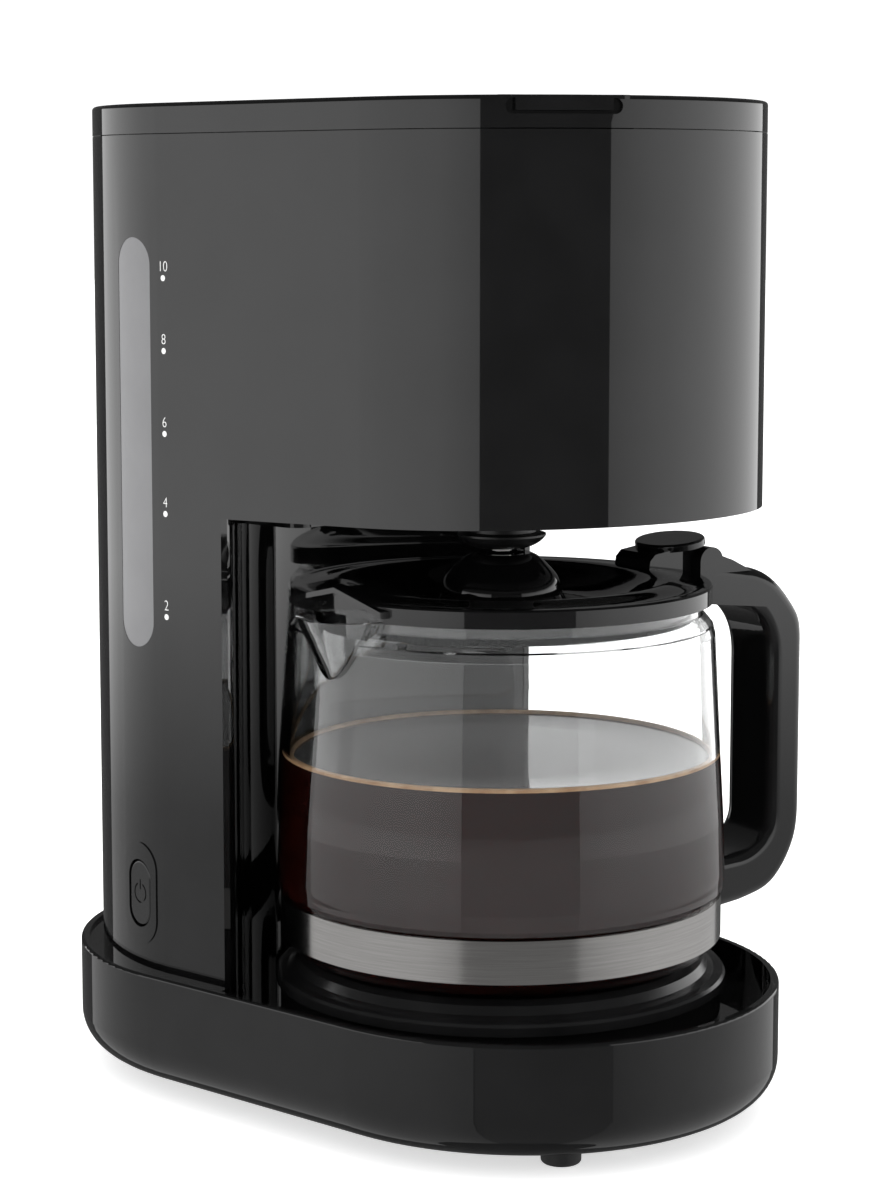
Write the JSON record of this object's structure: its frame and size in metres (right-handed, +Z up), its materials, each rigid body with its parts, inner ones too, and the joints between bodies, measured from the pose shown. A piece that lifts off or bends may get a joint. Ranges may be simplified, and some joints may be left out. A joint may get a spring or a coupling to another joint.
{
  "type": "drip coffee maker",
  "caption": "Capsule-shaped drip coffee maker: water column, head with filter basket, and a glass carafe on a hot plate in the bay below.",
  "frame": {"origin": "on the worktop, under the middle of the base (midway between the centres of its round ends)", "axes": "+Z up, -Y to the front where the carafe stands, +X to the right as seen from the front"},
  "size_m": [0.1914, 0.2438, 0.3085],
  "materials": {
    "gloss_black": "glossy black moulded plastic",
    "matte_black": "plain black moulded plastic",
    "rubber_black": "soft black rubber",
    "screw_steel": "zinc-plated steel",
    "plate_coating": "semi-gloss black non-stick coating on steel",
    "silicone_grey": "translucent grey silicone",
    "cast_aluminium": "extruded aluminium",
    "steel_bright": "bright steel",
    "black_phenolic": "black phenolic resin",
    "fuse_sleeve": "glass-fibre sleeve, off-white",
    "tank_smoke": "translucent smoke plastic",
    "valve_white": "natural white polypropylene",
    "silicone_clear": "milky silicone hose",
    "window_grey": "frosted grey window",
    "filter_mesh": "woven filter in an amber frame",
    "clear_glass": "clear heat-resistant glass",
    "satin_steel": "satin brushed steel"
  },
  "bodies": {
    "machine": {"base_tray": "gloss_black", "bottom_plate": "matte_black", "feet": "rubber_black", "bottom_screws": "screw_steel", "cord_bush": "rubber_black", "hot_plate": "plate_coating", "plate_seal": "silicone_grey", "heater_tube": "cast_aluminium", "heater_rod": "steel_bright", "heater_strap": "steel_bright", "strap_stud": "steel_bright", "strap_nut": "steel_bright", "thermostat": "black_phenolic", "thermal_fuse": "fuse_sleeve", "tank_shelf": "matte_black", "tank_grommet": "silicone_grey", "water_tank": "tank_smoke", "check_valve": "valve_white", "inlet_hose": "silicone_clear", "outlet_hose": "silicone_clear", "riser_tube": "valve_white", "body_shell": "gloss_black", "niche_panel": "gloss_black", "head_floor": "gloss_black", "level_window": "window_grey", "button_bezel": "gloss_black", "switch_body": "black_phenolic", "lid_hinge_pin": "steel_bright"},
    "lid": {"main_lid": "gloss_black", "lid_inner": "matte_black", "spreader": "matte_black"},
    "button": {"power_button": "gloss_black"},
    "basket": {"filter_basket": "matte_black", "mesh_filter": "filter_mesh", "valve_cage": "matte_black"},
    "drip_stop": {"valve_pin": "valve_white", "valve_seal": "silicone_grey", "valve_spring": "steel_bright"},
    "carafe": {"carafe_glass": "clear_glass", "carafe_band": "satin_steel", "band_screw": "screw_steel", "carafe_handle": "gloss_black", "carafe_lid_pin": "gloss_black"},
    "carafe_lid": {"carafe_lid": "gloss_black"}
  },
  "joints": [
    {"name": "lid_hinge", "type": "hinge", "parent": "machine", "child": "lid", "pos_m": [0, 0.1184, 0.301], "axis": [-1, 0, 0], "range_deg": [0, 95]},
    {"name": "button_push", "type": "slide", "parent": "machine", "child": "button", "axis": [0.9871, -0.1599, 0], "range_m": [0, 0.0025], "stiffness_N_per_m": 400},
    {"name": "carafe_slide", "type": "slide", "parent": "machine", "child": "carafe", "axis": [0, -1, 0], "range_m": [0, 0.25]},
    {"name": "carafe_lid_hinge", "type": "hinge", "parent": "carafe", "child": "carafe_lid", "pos_m": [0.071, -0.05267, 0.165], "axis": [0.2588, 0.9659, 0], "range_deg": [0, 1]},
    {"name": "basket_lift", "type": "slide", "parent": "machine", "child": "basket", "axis": [0, 0, 1], "range_m": [0, 0.01]},
    {"name": "drip_valve", "type": "slide", "parent": "basket", "child": "drip_stop", "axis": [0, 0, -1], "range_m": [0, 0.0035], "deforming": ["valve_spring"]}
  ],
  "couplings": [
    {"joint": "drip_valve", "follows": "carafe_slide", "ratio": 0.014}
  ]
}
